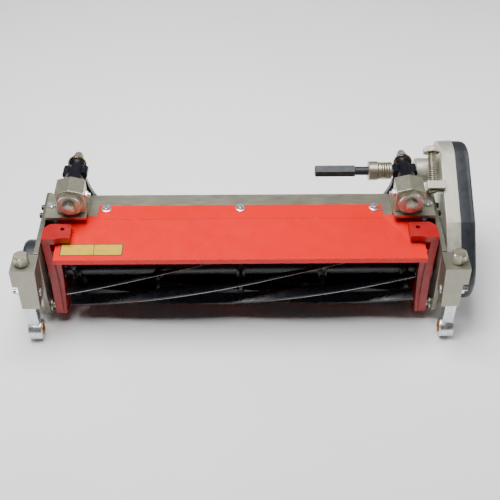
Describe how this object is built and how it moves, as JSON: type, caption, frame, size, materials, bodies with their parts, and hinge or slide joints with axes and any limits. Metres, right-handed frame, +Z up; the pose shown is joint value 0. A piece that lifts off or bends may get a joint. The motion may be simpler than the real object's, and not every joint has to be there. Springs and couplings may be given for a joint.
{
  "type": "reel mower cutting unit",
  "caption": "Reel mower cutting unit: helical reel over a pivoting bed knife in a plated frame with red cover, side belt-drive case, hex drive shaft, knurled adjusters and roller brackets.",
  "frame": {"origin": "under the middle of the part's bounding box, at its lowest point, the bottom of the roller eyes", "axes": "+X along the reel towards the drive case, +Y to the rear, away from the uncut grass, +Z up"},
  "size_m": [0.7444, 0.28, 0.2437],
  "materials": {
    "red_paint": "gloss red enamel",
    "black_steel": "semi-gloss black paint",
    "nickel_plate": "dull warm nickel plate over ground steel",
    "cast_aluminium": "bead-blasted casting",
    "zinc_plate": "bright zinc plate",
    "black_cover": "satin black powder coat",
    "belt_rubber": "matt",
    "bright_steel": "turned and oiled"
  },
  "bodies": {
    "frame": {"side_plate_left": "nickel_plate", "front_block_left": "nickel_plate", "reel_bearing_left": "bright_steel", "clamp_bolt_left": "zinc_plate", "pivot_bolt_left": "nickel_plate", "spring_rod_left": "zinc_plate", "arm_spring_left": "zinc_plate", "adjuster_block_left": "nickel_plate", "hanger_left": "black_steel", "side_plate_right": "nickel_plate", "front_block_right": "nickel_plate", "reel_bearing_right": "bright_steel", "clamp_bolt_right": "zinc_plate", "pivot_bolt_right": "nickel_plate", "spring_rod_right": "zinc_plate", "arm_spring_right": "zinc_plate", "adjuster_block_right": "nickel_plate", "hanger_right": "black_steel", "cross_plate": "nickel_plate", "rear_shield": "black_steel", "end_cover": "black_cover", "reel_cover": "red_paint", "cover_bolt_1": "zinc_plate", "cover_bolt_2": "zinc_plate", "cover_bolt_3": "zinc_plate", "case_back": "cast_aluminium", "case_cover": "black_cover", "bearing_cap": "black_cover", "tension_bolt": "nickel_plate", "input_housing": "cast_aluminium", "drive_belt": "belt_rubber"},
    "reel": {"reel_shaft": "bright_steel", "reel_pulley": "bright_steel", "reel_spider_1": "black_steel", "reel_spider_2": "black_steel", "reel_spider_3": "black_steel", "reel_spider_4": "black_steel", "reel_spider_5": "black_steel", "reel_blade_1": "black_steel", "reel_blade_2": "black_steel", "reel_blade_3": "black_steel", "reel_blade_4": "black_steel", "reel_blade_5": "black_steel", "reel_blade_6": "black_steel", "reel_blade_7": "black_steel", "reel_blade_8": "black_steel"},
    "input": {"input_shaft": "bright_steel", "input_pulley": "bright_steel", "drive_spring": "bright_steel"},
    "drive": {"hex_shaft": "black_steel"},
    "bed": {"bed_bar": "black_steel", "bed_knife": "bright_steel", "bed_arm_left": "red_paint", "bed_arm_right": "red_paint"},
    "dial_left": {"adjuster_dial_left": "nickel_plate"},
    "screw_left": {"height_screw_left": "nickel_plate"},
    "bracket_left": {"roller_bracket_left": "zinc_plate"},
    "dial_right": {"adjuster_dial_right": "nickel_plate"},
    "screw_right": {"height_screw_right": "nickel_plate"},
    "bracket_right": {"roller_bracket_right": "zinc_plate"}
  },
  "joints": [
    {"name": "reel_spin", "type": "hinge", "parent": "frame", "child": "reel", "pos_m": [-0.01415, -0.042, 0.081], "axis": [1, 0, 0], "continuous": true},
    {"name": "input_spin", "type": "hinge", "parent": "frame", "child": "input", "pos_m": [-0.01415, 0.09, 0.175], "axis": [1, 0, 0], "continuous": true},
    {"name": "hex_slide", "type": "slide", "parent": "input", "child": "drive", "axis": [1, 0, 0], "range_m": [0, 0.02], "stiffness_N_per_m": 600},
    {"name": "bed_pivot", "type": "hinge", "parent": "frame", "child": "bed", "pos_m": [-0.01415, -0.082, 0.034], "axis": [1, 0, 0], "range_deg": [-2.3, 0]},
    {"name": "dial_turn_left", "type": "hinge", "parent": "frame", "child": "dial_left", "pos_m": [-0.28415, -0.042, 0.202], "axis": [0, 1, 0], "range_deg": [0, 720]},
    {"name": "dial_turn_right", "type": "hinge", "parent": "frame", "child": "dial_right", "pos_m": [0.25585, -0.042, 0.202], "axis": [0, 1, 0], "range_deg": [0, 730]},
    {"name": "screw_turn_left", "type": "hinge", "parent": "frame", "child": "screw_left", "pos_m": [-0.34915, -0.121, 0.163], "axis": [0, 0, 1], "range_deg": [0, 5800]},
    {"name": "bracket_lift_left", "type": "slide", "parent": "frame", "child": "bracket_left", "axis": [0, 0, 1], "range_m": [0, 0.024]},
    {"name": "screw_turn_right", "type": "hinge", "parent": "frame", "child": "screw_right", "pos_m": [0.32085, -0.121, 0.163], "axis": [0, 0, 1], "range_deg": [0, 5800]},
    {"name": "bracket_lift_right", "type": "slide", "parent": "frame", "child": "bracket_right", "axis": [0, 0, 1], "range_m": [0, 0.024]}
  ],
  "couplings": [
    {"joint": "input_spin", "follows": "reel_spin", "ratio": 1.25},
    {"joint": "dial_turn_right", "follows": "dial_turn_left", "ratio": 1},
    {"joint": "bed_pivot", "follows": "dial_turn_left", "ratio": -0.003},
    {"joint": "screw_turn_left", "follows": "bracket_lift_left", "rad_per_m": 4188.8},
    {"joint": "screw_turn_right", "follows": "bracket_lift_right", "rad_per_m": 4188.8}
  ]
}
